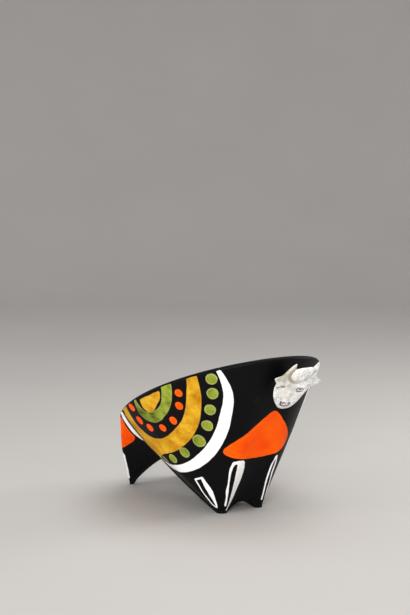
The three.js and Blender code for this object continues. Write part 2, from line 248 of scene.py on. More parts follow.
# The floor of the hollow: a level oval, scaled about its middle.
def floorPoint(angle, scale):
    x = vase["floorHalfLength"] * scale * np.cos(angle)
    y = vase["floorHalfWidth"] * scale * np.sin(angle)
    return np.stack([vase["floorX"] + x, y, np.full_like(x, vase["floorZ"])], -1)


# The hollow: a cubic curve from the lip down beside the wall, then in to the floor.
def hollowPoint(station, depth):
    angle = rimAngle(station)
    even = angle + (np.pi * station - angle) * depth
    share = depth[..., None]
    top = lipPoint(station, np.ones_like(station))
    beside = wallPoint(station, vase["hollowHeight"]) - rimOutward(angle) * vase["hollowWall"]
    return (top * (1 - share)**3 + 3 * beside * share * (1 - share)**2
            + 3 * floorPoint(even, 1) * share**2 * (1 - share)
            + floorPoint(even, vase["floorInner"]) * share**3)


# The underside: from the lower edge in to a ridge on the middle plane, level at first and then rising
# as a quarter sine. Share -1 is the lower edge, 0 the start of the climb and 1 the ridge.
def undersidePoint(station, share):
    low = edgePoint(station)
    ridgeFront, ridgeWaist, ridgeRear = vase["ridgeX"]
    x = ridgeFront + through(vase["stations"], vase["ridgeShares"], station) * (ridgeRear - ridgeFront)
    top = through((ridgeRear, vase["bellyPinch"][0], ridgeWaist, ridgeFront), vase["ridgeZ"][::-1], x)
    front, rear = vase["padWidths"]
    pad = (front + (rear - front) * station) / np.hypot(low[..., 0] - x, low[..., 1])
    along = np.where(share < 0, pad * (1 + share), pad + (1 - pad) * share)
    z = low[..., 2] + (top - low[..., 2]) * np.sin(np.pi / 2 * np.clip(share, 0, 1))
    return np.stack([low[..., 0] + (x - low[..., 0]) * along, low[..., 1] * (1 - along), z], -1)


# The parts of the skin, from the ridge of the underside round to the floor of the hollow
undersideZone, wallZone, lipZone, hollowZone = range(4)


# The skin as rings, one for each level of each part. One side runs from chest to rump, and the other
# mirrors it. Returns the points with their station, level and part.
def makeVase():
    stations = np.linspace(0, 1, vase["halfColumns"] + 1)
    climb = np.linspace(1, 0, vase["undersideRows"])**vase["undersideBunching"]
    skin = []
    for part, pointAt, levels in (
        (undersideZone, undersidePoint, np.append(climb, vase["padLevels"])),
        (wallZone, wallPoint, np.linspace(0, 1, vase["wallRows"] + 1)**vase["wallBunching"]),
        (lipZone, lipPoint, np.linspace(0, 1, vase["lipRows"] + 1)[1:]),
        (hollowZone, hollowPoint, np.linspace(0, 1, vase["hollowRows"] + 1)[1:]),
    ):
        station, level = np.meshgrid(stations, levels, indexing="xy")
        skin.append((pointAt(station, level), station, level, np.full(station.shape, part)))
    points, station, level, zone = (np.concatenate(values) for values in zip(*skin))
    points[:, [0, -1], 1] = 0
    # The wall wanders a little sideways, but its feet, its lip and its middle seam stay put.
    wander = vase["unevenness"] * handWander(points, vase["unevenScale"]) * (zone == wallZone)
    wander = wander * np.sqrt(np.sin(np.pi * np.clip(level, 0, 1)))
    points[..., 1] += np.where(points[..., 1] > vase["seamHalfWidth"], wander, 0)

    def bothSides(values):
        return np.concatenate([values, values[:, 1:-1][:, ::-1]], 1)

    rings = bothSides(points)
    rings[:, len(stations):, 1] *= -1
    return rings, bothSides(station), bothSides(level), bothSides(zone)


# Where the paint lies, as distances in millimetres from each colour's edge: negative inside.
# The rings are laid out as seen from the side and front, about one middle. Each edge's radius is given at
# the same turns, in degrees: -90 is straight back, 0 straight down and 90 straight forward. A dot is its
# turn, radius and half width. The chest's patch has corners (y, z), and the haunch's (station, height).
paint = {
    "seenFrom": 57.0, "middle": (-38.0, 118.0), "farSideBack": 11.0,
    "turns": (-80, -60, -40, -20, 0, 20, 40, 60, 80, 100, 120, 140),
    "centre": (14.3, 15.6, 16.8, 16.4, 13.6, 11.0, 9.9, 9.5, 11.0, 13.6, 16.6, 21.0),
    "greenInner": (20.4, 19.5, 19.0, 16.3, 13.9, 12.6, 12.0, 12.5, 13.5, 15.4, 19.5, 25.0),
    "greenOuter": (23.2, 25.5, 27.8, 27.0, 26.0, 23.5, 22.1, 22.7, 24.9, 28.2, 34.2, 40.0),
    "yellowInner": (40.5, 43.0, 46.1, 46.1, 43.6, 40.0, 37.8, 38.6, 40.7, 44.7, 54.0, 60.0),
    "yellowOuter": (90.0, 90.0, 90.0, 80.0, 61.0, 57.0, 55.2, 55.5, 56.8, 60.2, 66.0, 75.0),
    "whiteInner": (80.0, 80.0, 78.0, 76.0, 73.3, 71.8, 70.5, 71.6, 74.6, 82.0, 86.0, 95.0),
    "whiteOuter": (86.0, 85.0, 84.0, 81.0, 79.5, 81.2, 82.0, 82.9, 85.1, 90.0, 88.0, 95.0),
    "centreTop": 0.985, "levelLength": 90.0, "stationLength": 150.0, "lipGap": 1.5,
    "ringsEndHeights": (0.0, 0.36, 0.64, 0.85, 0.94, 0.99),
    "ringsEnd": (0.53, 0.53, 0.515, 0.507, 0.491, 0.452),
    "dotsEnd": 0.56, "chestEnd": 0.3, "cornerCut": 0.25, "cornerCuts": 2, "strokeSteps": 48,
    "orangeDots": ((-65, 33.4, 4.6), (-42, 36.2, 4.6), (-18, 34.5, 4.6), (14, 31.4, 4.4), (50, 30.9, 4.4),
                   (83, 33.1, 4.4), (105, 36.7, 4.4)),
    "greenDots": ((109, 75.6, 5.8), (99, 70.5, 6.0), (85, 66.1, 5.8), (69, 63.8, 6.0), (51, 62.3, 6.8),
                  (28, 62.0, 6.0), (10, 65.5, 5.4), (-3, 68.5, 4.6)),
    "chest": ((4.5, 109.0), (11.7, 104.3), (24.7, 91.0), (31.5, 83.0), (34.6, 75.5), (32.6, 67.5),
              (26.0, 62.7), (17.6, 60.2), (0.6, 58.2), (-17.0, 58.7), (-31.8, 62.4), (-38.0, 66.4),
              (-38.6, 71.2), (-34.5, 76.0), (-18.7, 89.2), (-0.8, 107.0)),
    "haunch": ((0.613, 0.95), (0.60, 0.80), (0.590, 0.64), (0.577, 0.44), (0.65, 0.49), (0.72, 0.545),
               (0.80, 0.60), (0.82, 0.80), (0.76, 0.96), (0.68, 0.985)),
    "haunchScale": (300.0, 95.0),
}
# Brush lines on the wall: whose side (1 the bull's left, -1 its right, 0 both), and stops of
# (station, height, half width) from end to end.
strokes = {
    "tailBand": (0, ((0.535, 1.0, 2.6), (0.553, 0.92, 3.4), (0.562, 0.80, 3.4), (0.562, 0.58, 3.6),
                     (0.561, 0.47, 3.0), (0.560, 0.36, 1.6))),
    "frontThin": (-1, ((0.114, 0.34, 1.6), (0.126, 0.304, 1.4), (0.13, 0.263, 1.0), (0.13, 0.205, 0.8),
                       (0.133, 0.147, 1.4), (0.13, 0.095, 0.9), (0.136, 0.041, 1.1))),
    "frontTop": (-1, ((0.116, 0.339, 1.6), (0.092, 0.34, 2.0), (0.068, 0.32, 3.6))),
    "frontWide": (-1, ((0.066, 0.311, 4.6), (0.06, 0.255, 5.2), (0.058, 0.194, 5.0), (0.06, 0.139, 4.2),
                       (0.062, 0.084, 3.4), (0.07, 0.028, 2.2), (0.091, 0.002, 1.1))),
    "flankThin": (0, ((0.345, 0.283, 1.0), (0.354, 0.23, 0.9), (0.369, 0.173, 0.8), (0.378, 0.113, 0.8),
                      (0.386, 0.065, 0.8), (0.363, 0.034, 0.6))),
    "flankTop": (0, ((0.345, 0.286, 1.1), (0.309, 0.284, 1.1), (0.292, 0.283, 1.3))),
    "flankWide": (0, ((0.293, 0.279, 1.9), (0.294, 0.241, 2.5), (0.293, 0.206, 3.2), (0.291, 0.173, 3.3),
                      (0.294, 0.139, 2.7), (0.298, 0.105, 1.9), (0.314, 0.059, 1.2), (0.34, 0.034, 0.8))),
    "farThin": (1, ((0.100, 0.348, 1.2), (0.085, 0.281, 1.0), (0.084, 0.225, 0.9), (0.087, 0.169, 0.9),
                    (0.100, 0.111, 1.0), (0.120, 0.045, 1.0))),
    "farWide": (1, ((0.106, 0.351, 1.2), (0.121, 0.294, 1.3), (0.123, 0.238, 1.2), (0.140, 0.18, 1.1),
                    (0.160, 0.122, 1.2), (0.205, 0.06, 1.0))),
    "haunchThin": (0, ((0.728, 0.51, 0.8), (0.698, 0.40, 1.5), (0.697, 0.295, 1.4), (0.702, 0.19, 1.6),
                       (0.716, 0.07, 1.4))),
    "haunchTop": (0, ((0.728, 0.51, 0.8), (0.765, 0.53, 1.6), (0.80, 0.49, 2.2))),
    "haunchWide": (0, ((0.80, 0.49, 2.2), (0.803, 0.36, 2.6), (0.80, 0.21, 2.0), (0.79, 0.06, 1.2))),
}


# The distance from points to a straight step, and the share of the step that is nearest to each.
def toStep(points, start, end):
    step = end - start
    share = np.clip(((points - start) @ step) / (step @ step), 0, 1)
    return np.linalg.norm(points - start - share[..., None] * step, axis=-1), share


# The distance to the nearest of a line's short steps, less a half width that runs along it.
def pathDistance(points, path, halfWidths):
    best = np.full(points.shape[:-1], farAway)
    for k in range(len(path) - 1):
        away, share = toStep(points, path[k], path[k + 1])
        best = np.minimum(best, away - halfWidths[k] - (halfWidths[k + 1] - halfWidths[k]) * share)
    return best


# The distance to a brush line on the wall. For a line on both sides, all points count as on the left.
def strokeDistance(points, side, stops):
    station, height, halfWidths = smoothed(stops, paint["strokeSteps"]).T
    whose = points if side else points * (1, 0, 1) + np.abs(points) * (0, 1, 0)
    return pathDistance(whose, wallPoint(station, height) * (1, side or 1, 1), halfWidths)


# The distance to a patch's nearest side, once its corners are cut back twice along each side. It is
# negative where an odd number of sides lies above the point.
def patchDistance(points, corners):
    cut = paint["cornerCut"]
    for _ in range(paint["cornerCuts"]):
        following = np.roll(corners, -1, axis=0)
        pairs = [(1 - cut) * corners + cut * following, cut * corners + (1 - cut) * following]
        corners = np.stack(pairs, 1).reshape(-1, 2)
    x, y = points[..., 0], points[..., 1]
    best, inside = np.full(x.shape, farAway), np.zeros(x.shape, bool)
    for start, end in zip(corners, np.roll(corners, -1, axis=0)):
        best = np.minimum(best, toStep(points, start, end)[0])
        crosses = (start[0] > x) != (end[0] > x)
        slope = (end[1] - start[1]) / ((end[0] - start[0]) or 1)
        inside ^= crosses & (y < start[1] + (x - start[0]) * slope)
    return np.where(inside, -best, best)


# Each point's distance from each colour's edge. Rings and dots are measured in the plane they are laid
# out in. The greater of two distances keeps what both hold, and the lesser what either holds.
def paintDistances(rings, station, level, zone):
    seen = math.radians(paint["seenFrom"])
    right = rings * (1, 0, 1) - np.abs(rings) * (0, 1, 0)
    along = right[..., 0] * math.sin(seen) + right[..., 1] * math.cos(seen) - paint["middle"][0]
    along = along + paint["farSideBack"] * (rings[..., 1] > 0)
    up = right[..., 2] - paint["middle"][1]
    turns, heights = paint["turns"], paint["ringsEndHeights"]
    turn = np.clip(np.degrees(np.arctan2(along, -up)), turns[0], turns[-1])
    away = np.hypot(along, up)
    end = through(heights, paint["ringsEnd"], np.clip(level, heights[0], heights[-1]))
    beyond = (station - end) * paint["stationLength"]
    outside = np.select([zone == wallZone, zone == lipZone], [-farAway, paint["lipGap"]], farAway)

    def reach(edge):
        return through(turns, paint[edge], turn)

    def band(inner, outer):
        return np.maximum.reduce([reach(inner) - away, away - reach(outer), beyond])

    # A dot is a ball about the wall's point nearest to its place, once on each side.
    def dots(spots):
        best = np.full(station.shape, farAway)
        hidden = farAway * ((zone != wallZone) | (station > paint["dotsEnd"]))
        for angle, radius, size in spots:
            angle = math.radians(angle)
            miss = np.hypot(along - radius * math.sin(angle), up + radius * math.cos(angle)) + hidden
            for otherSide in (rings[..., 1] > 0, rings[..., 1] < 0):
                spot = rings[np.unravel_index((miss + farAway * otherSide).argmin(), miss.shape)]
                best = np.minimum(best, np.linalg.norm(rings - spot, axis=-1) - size)
        return np.maximum(best, beyond)

    aboveCentre = (level - paint["centreTop"]) * paint["levelLength"]
    centre = np.maximum.reduce([away - reach("centre"), beyond, aboveCentre])
    chest = patchDistance(rings[..., 1:], np.array(paint["chest"]))
    chest = np.where(station < paint["chestEnd"], chest, farAway)
    scale = paint["haunchScale"]
    haunch = patchDistance(np.stack([station, level], -1) * scale, np.array(paint["haunch"]) * scale)
    lines = np.minimum.reduce([strokeDistance(rings, *stroke) for stroke in strokes.values()])
    found = {
        "paintYellow": np.minimum(band("yellowInner", "yellowOuter"), centre),
        "paintGreen": band("greenInner", "greenOuter"),
        "paintDotGreen": dots(paint["greenDots"]),
        "paintOrange": np.minimum.reduce([dots(paint["orangeDots"]), chest, haunch]),
        "paintWhite": np.minimum(band("whiteInner", "whiteOuter"), lines),
    }
    return {name: np.maximum(distance, outside) for name, distance in found.items()}


print("shaping the vase")
rings, station, level, zone = makeVase()
shift = np.array([moveX, 0, 0])
floorPole = np.array([vase["floorX"], 0, vase["floorZ"]]) + shift
vaseBody = meshFromRings("vaseBody", rings + shift, lastPole=floorPole)
print("painting the vase")
for name, distance in paintDistances(rings, station, level, zone).items():
    store(vaseBody, name, np.append(distance.reshape(-1), farAway))
closeSeams(vaseBody)
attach(vaseBody, "root")
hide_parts("vase_body")


# The face: a flat slab of clay before the mouth's front end, leaning forward and turned a little.
# Its outline is given by rows from the chin up: each row's height, and its two ends across.
face = {
    "ahead": 17.3, "across": -1.5, "below": 16.8, "lean": 53.4, "turn": 10.5, "thickness": 6.0,
    "rows": (-38.7, -37.6, -35.4, -29.4, -21.7, -15.8, -11.1, -6.0, 0.0, 6.0, 11.0, 12.0, 14.0, 16.3),
    "rightEnds": (0.0, -4.0, -6.5, -11.5, -15.7, -17.6, -18.4, -17.4, -16.2, -13.4, -9.6, -4.5, 3.0, 10.5),
    "leftEnds": (0.0, 5.0, 8.2, 11.8, 14.2, 15.8, 17.0, 18.4, 19.0, 18.8, 17.6, 17.2, 15.6, 10.5),
    "middle": (0.5, -11.0), "bevel": 0.19, "bevelPower": 1.1, "edge": 1.0, "roundedFrom": 0.9, "dome": 1.3,
    "nose": (-2.0, -17.0), "noseSize": (3.6, 13.0), "noseHeight": 1.4,
    "eyes": ((-12.3, -10.2), (7.8, -11.4)), "socketSize": (5.4, 2.8), "socketDepth": 1.0,
    "browAbove": 4.2, "browSize": (5.0, 1.7), "browTilt": 8.0, "browHeight": 1.3,
    "cheeks": ((8.0, -22.0), (-11.0, -22.0)), "cheekSize": (5.0, 6.0), "cheekHeight": 0.6,
    "unevenness": 0.2, "unevenScale": 3.2, "lineSteps": 30,
    "outlineSteps": 111, "sideRows": 8, "frontRows": 90, "frontBunching": 0.85, "lastRing": 0.012,
}


# Places on the face: x towards the bull's left ear, y to the crown, z out of its front.
def onFace(points):
    lean, turn = math.radians(face["lean"]), math.radians(face["turn"])
    up = np.array([math.cos(lean), 0, math.sin(lean)])
    front = np.array([math.sin(lean), 0, -math.cos(lean)])
    side = np.array([0.0, 1.0, 0.0])
    across = math.cos(turn) * side + math.sin(turn) * front
    out = math.cos(turn) * front - math.sin(turn) * side
    origin = rimPoint(np.array(0.0)) + (moveX + face["ahead"], face["across"], -face["below"])
    return origin + points[..., :1] * across + points[..., 1:2] * up + points[..., 2:] * out


# A soft round hill: one at its middle, falling as the bell curve exp(-r squared).
def hill(x, y, middle, size, tilt=0.0):
    along, across = turned(x - middle[0], y - middle[1], -tilt)
    return np.exp(-(along / size[0])**2 - (across / size[1])**2)


# The distance in the face's plane to a smooth line through stops, less its half width.
def lineDistance(x, y, stops, halfWidth):
    path = smoothed(stops, face["lineSteps"])
    return pathDistance(np.stack([x, y], -1), path, np.full(len(path), halfWidth))


# A soft line: 1 within its half width, and beyond it a bell curve of the distance.
def softLine(x, y, stops, halfWidth, blur):
    return np.exp(-(np.maximum(lineDistance(x, y, stops, halfWidth), 0) / blur)**2)


# How far the face stands above its dome: hills for the nose, brows and cheeks, less the eye sockets,
# and a slight unevenness.
def faceRelief(x, y):
    relief = face["noseHeight"] * hill(x, y, face["nose"], face["noseSize"])
    for sign, (eyeX, eyeY) in zip((-1, 1), face["eyes"]):
        browMiddle = (eyeX, eyeY + face["browAbove"])
        brow = hill(x, y, browMiddle, face["browSize"], -sign * face["browTilt"])
        socket = hill(x, y, (eyeX, eyeY), face["socketSize"])
        relief = relief + face["browHeight"] * brow - face["socketDepth"] * socket
    for cheek in face["cheeks"]:
        relief = relief + face["cheekHeight"] * hill(x, y, cheek, face["cheekSize"])
    return relief + face["unevenness"] * handWander(np.stack([x, y, 0 * x], -1), face["unevenScale"])


# The slab as rings: the outline, drawn in at the back, makes its side. Drawn in step by step to its
# middle it makes the front, which has a cubic dome and the relief and falls off in a quarter circle.
# Each function that makes a piece of the face returns it with its rings and its two poles.
def makeFace():
    share = np.linspace(0, 1, face["outlineSteps"])
    chin, crown = face["rows"][0], face["rows"][-1]
    y = chin + (crown - chin) * (0.5 - 0.5 * np.cos(np.pi * share))
    left, right = (through(face["rows"], face[ends], y) for ends in ("leftEnds", "rightEnds"))
    outline = np.concatenate([np.stack([left, y], -1), np.stack([right, y], -1)[1:-1][::-1]])
    middle = np.array(face["middle"])
    back, rounded = -face["thickness"], face["roundedFrom"]

    def ring(scale, z):
        flat = middle + (outline - middle) * scale
        return np.stack([flat[:, 0], flat[:, 1], np.broadcast_to(z, flat.shape[:1])], -1)

    rings = []
    for s in np.linspace(0, 1, face["sideRows"]):
        rings.append(ring(1 - face["bevel"] * (1 - s)**face["bevelPower"], back - (back + face["edge"]) * s))
    for scale in np.linspace(1, face["lastRing"], face["frontRows"])**face["frontBunching"]:
        flat = ring(scale, 0)
        rise = face["dome"] * (1 - scale**3) + faceRelief(flat[:, 0], flat[:, 1]) * (1 - scale**10)
        fall = 1 - np.sqrt(np.clip(1 - (np.maximum(scale - rounded, 0) / (1 - rounded))**2, 0, 1))
        flat[:, 2] = rise - face["edge"] * fall
        rings.append(flat)
    rings = np.array(rings)
    bottom, top = np.array([*middle, back]), np.array([*middle, face["dome"] + faceRelief(*middle)])
    return meshFromRings("faceSlab", onFace(rings), onFace(bottom), onFace(top)), rings, (bottom, top)


# Pads on the face, and how each one's skirt sinks into the slab, whose dome they follow over an oval.
muzzleForm = {
    "middle": (-1.0, -31.0), "size": (7.8, 5.6), "height": 2.0, "tilt": 0.0, "taper": 0.0,
    "rows": 60, "around": 160,
    "nostrils": ((-3.6, -28.6), (2.0, -28.6)), "nostrilSize": (1.2, 0.9), "nostrilDepth": 1.5,
    "mouthDepth": 0.8, "mouthHalfWidth": 0.1, "mouthBlur": 0.7,
}
forelockForm = {
    "middle": (2.9, 7.9), "size": (11.4, 7.1), "height": 4.2, "tilt": 22.0, "taper": 0.15,
    "rows": 60, "around": 140,
}
eyeForm = {"size": (4.2, 2.3), "height": 1.1, "tilt": 0.0, "taper": 0.0, "rows": 24, "around": 64}
padFit = {
    "sunk": 0.5, "skirt": 0.9, "skirtDepth": 1.2, "lastRing": 0.02, "detailFade": 6.0,
    "domeMiddle": (0.0, -11.0), "domeSize": (18.0, 27.0),
}


# A pad: oval rings from its skirt to its top, narrower towards one end where it tapers. Its height is
# that of a quarter circle over the slab, and detail(x, y) is added away from its rim.
def facePad(name, form, detail=None):
    turn = fullTurn(form["around"])[None, :]
    inward = np.sqrt(np.linspace(1, padFit["lastRing"]**2, form["rows"]))
    scale = np.append(padFit["skirt"], inward)[:, None]
    long = form["size"][0] * scale * np.cos(turn)
    wide = form["size"][1] * scale * np.sin(turn) * (1 - form["taper"] * np.cos(turn))
    x, y = turned(long, wide, form["tilt"])
    x, y = x + form["middle"][0], y + form["middle"][1]
    (domeX, domeY), (domeLength, domeWidth) = padFit["domeMiddle"], padFit["domeSize"]
    out = np.clip(np.hypot((x - domeX) / domeLength, (y - domeY) / domeWidth), 0, 1)
    low = faceRelief(x, y) + face["dome"] * (1 - out**3) - padFit["sunk"]
    rise = form["height"] * np.sqrt(np.clip(1 - scale**2, 0, 1)) + 0 * turn
    if detail is not None:
        rise = rise + detail(x, y) * np.clip((1 - scale) * padFit["detailFade"], 0, 1)
    rings = np.stack([x, y, low + rise], -1)
    rings[0, :, 2] = low[0] - padFit["skirtDepth"]
    bottom, top = np.append(rings[0].mean(0)[:2], rings[0, :, 2].min()), rings[-1].mean(0)
    return meshFromRings(name, onFace(rings), onFace(bottom), onFace(top)), rings, (bottom, top)


# Horns and ears: each one's root, bend and tip on the face, and its half width and half thickness.
limbForms = {
    "hornRight": (((-8.6, 3.0), (-8.4, 11.5), (-6.4, 18.4)), 5.6, 1.7),
    "hornLeft": (((13.5, 7.0), (16.2, 15.0), (15.4, 22.8)), 5.2, 1.8),
    "earRight": (((-11.0, -3.5), (-16.0, -3.0), (-21.7, -1.9)), 9.0, 1.8),
    "earLeft": (((12.0, -1.9), (19.0, -2.0), (27.8, -1.5)), 10.6, 1.8),
    "thinning": {"horn": 0.7, "ear": 0.5}, "hollow": {"horn": 0.0, "ear": 0.1},
}
limbFit = {"depth": -1.7, "ends": (0.012, 0.985), "rootRise": 6.0, "tipPower": 0.75, "rows": 56, "around": 48}


# A limb: oval rings along a quadratic curve. Its width rises evenly from the root and then falls as a power
# of the length left, its thickness is a power of that, and an ear is hollowed where it faces outwards.
def faceLimb(kind, side):
    places, halfWidth, halfThickness = limbForms[kind + side]
    share = np.linspace(*limbFit["ends"], limbFit["rows"])[:, None]
    root, bend, tip = (np.array([*place, limbFit["depth"]]) for place in places)
    path = root * (1 - share)**2 + 2 * bend * share * (1 - share) + tip * share**2
    heading = 2 * (bend - root) * (1 - share) + 2 * (tip - bend) * share
    heading /= np.linalg.norm(heading, axis=1, keepdims=True)
    across = np.stack([-heading[:, 1], heading[:, 0], 0 * heading[:, 0]], -1)[:, None]
    turn = fullTurn(limbFit["around"])[None, :, None]
    taper = (np.minimum(1, limbFit["rootRise"] * share) * (1 - share)**limbFit["tipPower"])[:, None]
    wide, thick = halfWidth * taper, halfThickness * taper**limbForms["thinning"][kind]
    hollow = limbForms["hollow"][kind] * wide * np.clip(np.sin(turn), 0, 1)**5
    rings = path[:, None] + across * wide * np.cos(turn)
    rings = rings + np.array([0, 0, 1]) * (thick * np.sin(turn) - hollow)
    return meshFromRings(kind + side, onFace(rings), onFace(root), onFace(tip)), rings, (root, tip)


# Lines drawn on the face, each with its half width: lids, pupils, lashes, nostrils and mouth.
mouthLine = ((-5.9, -27.6), (-5.7, -30.0), (-4.0, -31.9), (-0.9, -32.3), (2.2, -31.3), (4.1, -28.8))
faceLines = (
    (((-15.9, -11.6), (-14.6, -10.2), (-12.4, -9.3), (-10.0, -8.9)), 0.55),
    (((-12.6, -9.6), (-11.0, -9.0), (-9.6, -8.9)), 0.8),
    (((-18.0, -10.0), (-17.1, -8.7)), 0.25), (((-17.2, -12.0), (-16.4, -10.6)), 0.25),
    (((-16.0, -13.0), (-13.2, -12.6)), 0.2),
    (((3.8, -11.6), (5.2, -10.0), (7.6, -9.2), (10.4, -10.0), (12.0, -11.6)), 0.5),
    (((7.6, -10.6), (8.6, -11.0)), 0.95),
    (((5.4, -13.4), (7.2, -14.0), (9.6, -13.8), (11.2, -12.8)), 0.5),
    (((4.0, -12.4), (5.4, -11.4)), 0.3), (((4.8, -13.6), (6.0, -12.2)), 0.3),
    (((-3.7, -28.7), (-2.7, -27.8)), 1.15), (((1.9, -28.3), (2.8, -28.0)), 0.8),
    (mouthLine, 0.85),
)
# Curls brushed into the forelock: each has its middle, pace, start and reach.
curlForm = {"height": 0.12, "waves": (((-3.0, 7.0), 2.1, 0.0, 6.0), ((6.0, 10.0), 2.4, 1.0, 5.0))}


# Sine waves that run out from the middle of each curl and die away exponentially.
def curls(x, y):
    total = 0
    for middle, pace, start, reach in curlForm["waves"]:
        away = np.hypot(x - middle[0], y - middle[1])
        total = total + curlForm["height"] * np.sin(pace * away + start) * np.exp(-away / reach)
    return total


# Painted shade and beige washes on the face: a painted shadow line round the forelock that fades towards the
# left ear, and soft spots of a strength, middle and size, partly painted shade in hollows and partly the
# glaze's beige. The forelock itself takes little of them, and its curls are darkened.
shadeWashForm = {
    "line": ((-6.5, 12.5), (-9.4, 7.5), (-8.5, 3.0), (-4.6, -1.2), (0.8, -2.2), (6.0, 0.9), (10.3, 5.0),
             (12.8, 8.4), (14.6, 12.0)),
    "lineHalfWidth": 0.5, "lineBlur": 1.2, "fadeFrom": -9.0, "fadeLength": 26.0, "fadeLeast": 0.58,
    "spots": ((0.5, (-4.5, -7.0), (3.0, 4.0)), (0.9, (-1.0, -31.0), (4.0, 1.2)),
              (0.22, (20.0, 2.0), (6.0, 7.0)), (0.85, (-15.5, 3.0), (8.0, 9.0))),
    "onForelock": 0.12, "curlShade": 0.3, "curlGain": 8.0, "forelockSpot": (0.16, (4.0, 11.0), (9.0, 4.0)),
    "blushMiddle": (-0.6, -28.2), "blushFlatness": 0.8, "blushRadius": 1.3,
}


# The strength of the painted shade and washes: a bell curve of the distance from the shadow line, and the
# hills of its spots.
def shadeWashAt(x, y):
    fade = np.clip(1 - (x - shadeWashForm["fadeFrom"]) / shadeWashForm["fadeLength"], shadeWashForm["fadeLeast"], 1)
    line = softLine(x, y, shadeWashForm["line"], shadeWashForm["lineHalfWidth"], shadeWashForm["lineBlur"])
    spots = [strength * hill(x, y, middle, size) for strength, middle, size in shadeWashForm["spots"]]
    return line * fade + sum(spots)


# Stores ink, blush and painted shade on a piece: distances to the drawn lines and to a small oval above the
# mouth, and the strength of the painted shade and beige washes. The poles come after the rings, as in the
# mesh.
def paintFace(piece, local, poles, forelock):
    x, y = (np.append(local[..., axis].reshape(-1), [pole[axis] for pole in poles]) for axis in (0, 1))
    ink = np.minimum.reduce([lineDistance(x, y, *line) for line in faceLines])
    blushX, blushY = shadeWashForm["blushMiddle"]
    blush = np.hypot(x - blushX, (y - blushY) / shadeWashForm["blushFlatness"]) - shadeWashForm["blushRadius"]
    # Painted shade round the forelock and in the face's hollows, together with beige washes.
    shadeWash = shadeWashAt(x, y)
    if forelock:
        strength, middle, size = shadeWashForm["forelockSpot"]
        shadeWash = shadeWashForm["onForelock"] * shadeWash + strength * hill(x, y, middle, size)
        shadeWash = shadeWash + shadeWashForm["curlShade"] * np.clip(shadeWashForm["curlGain"] * curls(x, y), 0, 1)
    for name, values in (("faceInk", ink), ("faceBlush", blush), ("faceShadeWash", np.clip(shadeWash, 0, 1))):
        store(piece, name, values)


# The muzzle's own relief: a hill pressed in for each nostril, and a groove along the mouth.
def muzzleDetail(x, y):
    pits = sum(hill(x, y, place, muzzleForm["nostrilSize"]) for place in muzzleForm["nostrils"])
    groove = softLine(x, y, mouthLine, muzzleForm["mouthHalfWidth"], muzzleForm["mouthBlur"])
    return -muzzleForm["nostrilDepth"] * pits - muzzleForm["mouthDepth"] * groove


facePieces = []


# Paints and closes a piece of the face, and sets it in place of its solid.
def addToFace(made, node):
    piece, rings, poles = made
    paintFace(piece, rings, poles, node == "forelock")
    closeSeams(piece)
    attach(piece, "root")
    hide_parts(node)
    facePieces.append(piece)


print("shaping the face, its muzzle, forelock, eyes, horns and ears")
addToFace(makeFace(), "face_plate")
addToFace(facePad("muzzlePad", muzzleForm, muzzleDetail), "muzzle")
addToFace(facePad("forelockPad", forelockForm, curls), "forelock")
for side, place in zip(("Right", "Left"), face["eyes"]):
    addToFace(facePad("eye" + side, {**eyeForm, "middle": place}), "eye_" + side.lower())
    for kind in ("horn", "ear"):
        addToFace(faceLimb(kind, side), kind + "_" + side.lower())


# The neck: from an oval on the chest to a disc behind the face, drawn in a little between
neckForm = {
    "height": 0.84, "halfWidth": 11.0, "halfHeight": 11.0, "inset": 0.4, "waist": 0.12,
    "endRadius": 8.6, "endBelow": 2.0, "endSunk": 0.5, "rows": 40, "around": 72,
}


# Straight lines from the oval, laid on the wall by station and height, to the disc on the slab's back.
# Each ring is then drawn in towards its middle by a half sine.
def makeNeck():
    turn = -fullTurn(neckForm["around"])
    angle = neckForm["halfWidth"] * np.sin(turn) / (vase["rimHalfWidth"] * neckForm["height"])
    station = np.abs(angle) / math.radians(vase["spreads"][1]) * vase["stations"][1]
    rimTop = vase["rimZ"] + vase["rimSlope"] * vase["rimHalfLength"]
    start = wallPoint(station, neckForm["height"] + neckForm["halfHeight"] * np.cos(turn) / rimTop)
    start[:, 1] *= np.where(angle < 0, -1, 1)
    start = start + (moveX - neckForm["inset"], 0, 0)
    disc = neckForm["endRadius"] * np.stack([np.sin(turn), np.cos(turn), 0 * turn], -1)
    end = onFace(disc + (0, -neckForm["endBelow"], neckForm["endSunk"] - face["thickness"]))
    share = np.linspace(0, 1, neckForm["rows"])[:, None, None]
    rings = start * (1 - share) + end * share
    centre = rings.mean(1, keepdims=True)
    rings = centre + (rings - centre) * (1 - neckForm["waist"] * np.sin(np.pi * share))
    return meshFromRings("neckStub", rings, start.mean(0), end.mean(0))


print("shaping the neck")
neckPiece = makeNeck()
closeSeams(neckPiece)
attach(neckPiece, "root")
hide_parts("neck")


# Shader building blocks: each adds a node to a tree and returns its output, unless it says otherwise.

# A colour of the screen's 0 to 255 as Blender's linear values.
def srgb(r, g, b):
    shares = [value / 255 for value in (r, g, b)]
    return tuple(s / 12.92 if s <= 0.04045 else ((s + 0.055) / 1.055)**2.4 for s in shares) + (1.0,)


# A new material, returned with its node tree.
def newMaterial(name):
    material = bpy.data.materials.new(name)
    material.use_nodes = True
    return material, material.node_tree


# Sets a number or colour on a socket, or links an output to it.
def feed(tree, socket, value):
    if isinstance(value, (int, float, tuple)):
        socket.default_value = value
    else:
        tree.links.new(value, socket)


# A Math node on the values given.
def mathNode(tree, operation, *values, clamp=False):
    node = tree.nodes.new("ShaderNodeMath")
    node.operation = operation
    node.use_clamp = clamp
    for socket, value in zip(node.inputs, values):
        feed(tree, socket, value)
    return node.outputs[0]


# A value stretched so that low becomes 0 and high becomes 1, and kept between them.
def spread(tree, value, low, high):
    node = tree.nodes.new("ShaderNodeMapRange")
    for socket, given in zip(node.inputs, (value, low, high, 0.0, 1.0)):
        feed(tree, socket, given)
    return node.outputs[0]


